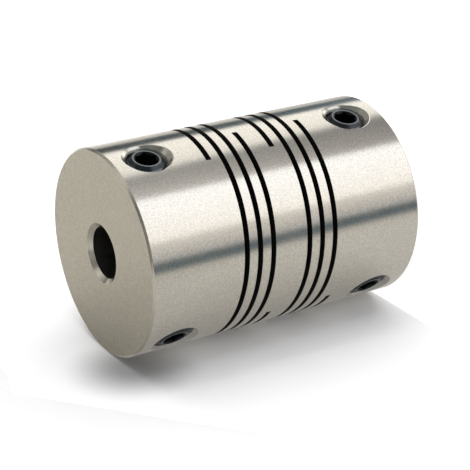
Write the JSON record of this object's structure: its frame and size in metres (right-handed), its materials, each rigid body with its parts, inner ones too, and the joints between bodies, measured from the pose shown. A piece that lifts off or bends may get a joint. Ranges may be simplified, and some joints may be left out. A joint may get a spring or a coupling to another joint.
{
  "type": "helical beam coupling",
  "caption": "Helically slit beam coupling that joins shaft ends and flexes to take up their misalignment, with hex socket set screws in its hubs.",
  "frame": {"origin": "middle of the lower end face, on the shaft axis; the coupling stands on this face", "axes": "+Z along the shaft axis, from the lower hub to the upper; the columns of set screws lie 60 degrees either side of -Y"},
  "size_m": [0.0254, 0.0254, 0.0375],
  "materials": {
    "body": "fine turned, bare",
    "set_screws": "black oxide"
  },
  "bodies": {
    "coupling": {"coupling_body": "body"},
    "screw_lower_right": {"set_screw_lower_right": "set_screws"},
    "screw_lower_left": {"set_screw_lower_left": "set_screws"},
    "screw_upper_right": {"set_screw_upper_right": "set_screws"},
    "screw_upper_left": {"set_screw_upper_left": "set_screws"}
  },
  "joints": [
    {"name": "set_screw_lower_right_travel", "type": "slide", "parent": "coupling", "child": "screw_lower_right", "axis": [-0.866, 0.5, 0], "range_m": [-0.0032, 0.0032]},
    {"name": "set_screw_lower_left_travel", "type": "slide", "parent": "coupling", "child": "screw_lower_left", "axis": [0.866, 0.5, 0], "range_m": [-0.0032, 0.0032]},
    {"name": "set_screw_upper_right_travel", "type": "slide", "parent": "coupling", "child": "screw_upper_right", "axis": [-0.866, 0.5, 0], "range_m": [-0.0032, 0.0032]},
    {"name": "set_screw_upper_left_travel", "type": "slide", "parent": "coupling", "child": "screw_upper_left", "axis": [0.866, 0.5, 0], "range_m": [-0.0032, 0.0032]}
  ]
}
